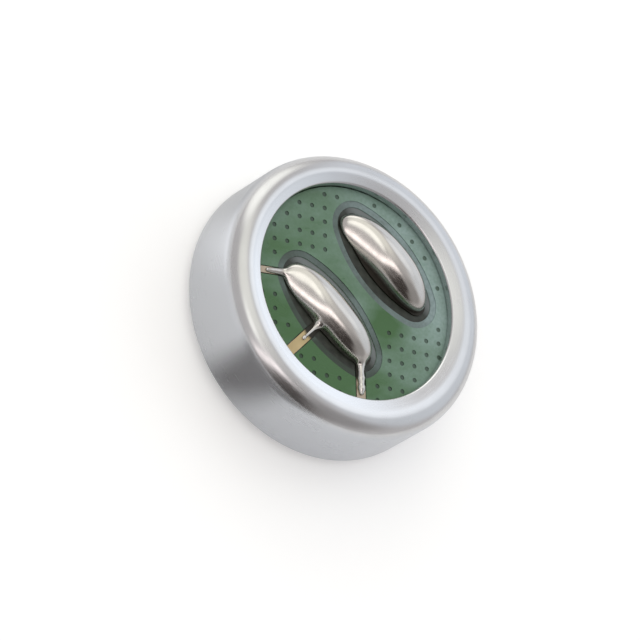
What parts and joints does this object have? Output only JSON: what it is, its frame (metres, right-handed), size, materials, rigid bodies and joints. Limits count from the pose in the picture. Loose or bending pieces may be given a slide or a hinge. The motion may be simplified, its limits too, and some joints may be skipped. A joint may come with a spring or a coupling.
{
  "type": "electret microphone capsule",
  "caption": "Small round electret microphone capsule: aluminium can crimped over a green board with a ground and an output solder bump, felt-covered front.",
  "frame": {"origin": "under the centre of the dust felt, on the surface that the capsule lies on", "axes": "+Z out of the rear, solder side, along the can's axis; +X from the ground pad to the output pad"},
  "size_m": [0.006, 0.006, 0.0021],
  "materials": {
    "can_metal": "satin drawn and rolled aluminium",
    "felt": "black needle felt",
    "brass": "bright turned brass",
    "film": "metallised polymer film",
    "holder_plastic": "moulded insulating plastic",
    "laminate": "bare glass-fibre laminate",
    "mask": "green mask lacquer",
    "gold_copper": "gilt copper",
    "solder": "bright solder",
    "moulding": "moulded epoxy",
    "ceramic": "fired ceramic",
    "tin": "tinned metal"
  },
  "bodies": {
    "root": {"can": "can_metal", "dust_felt": "felt", "diaphragm_ring": "brass", "diaphragm": "film", "spacer": "holder_plastic", "electret_layer": "film", "backplate": "brass", "holder": "holder_plastic", "gate_ring": "brass", "board": "laminate", "solder_mask": "mask", "ground_land": "gold_copper", "output_land": "gold_copper", "gate_land": "gold_copper", "source_land": "gold_copper", "drain_land": "gold_copper", "ground_via": "gold_copper", "output_via": "gold_copper", "jfet_body": "moulding", "jfet_leads": "tin", "capacitor_bodies": "ceramic", "capacitor_caps": "tin", "reflow_solder": "solder", "ground_solder": "solder", "output_solder": "solder"}
  },
  "joints": []
}
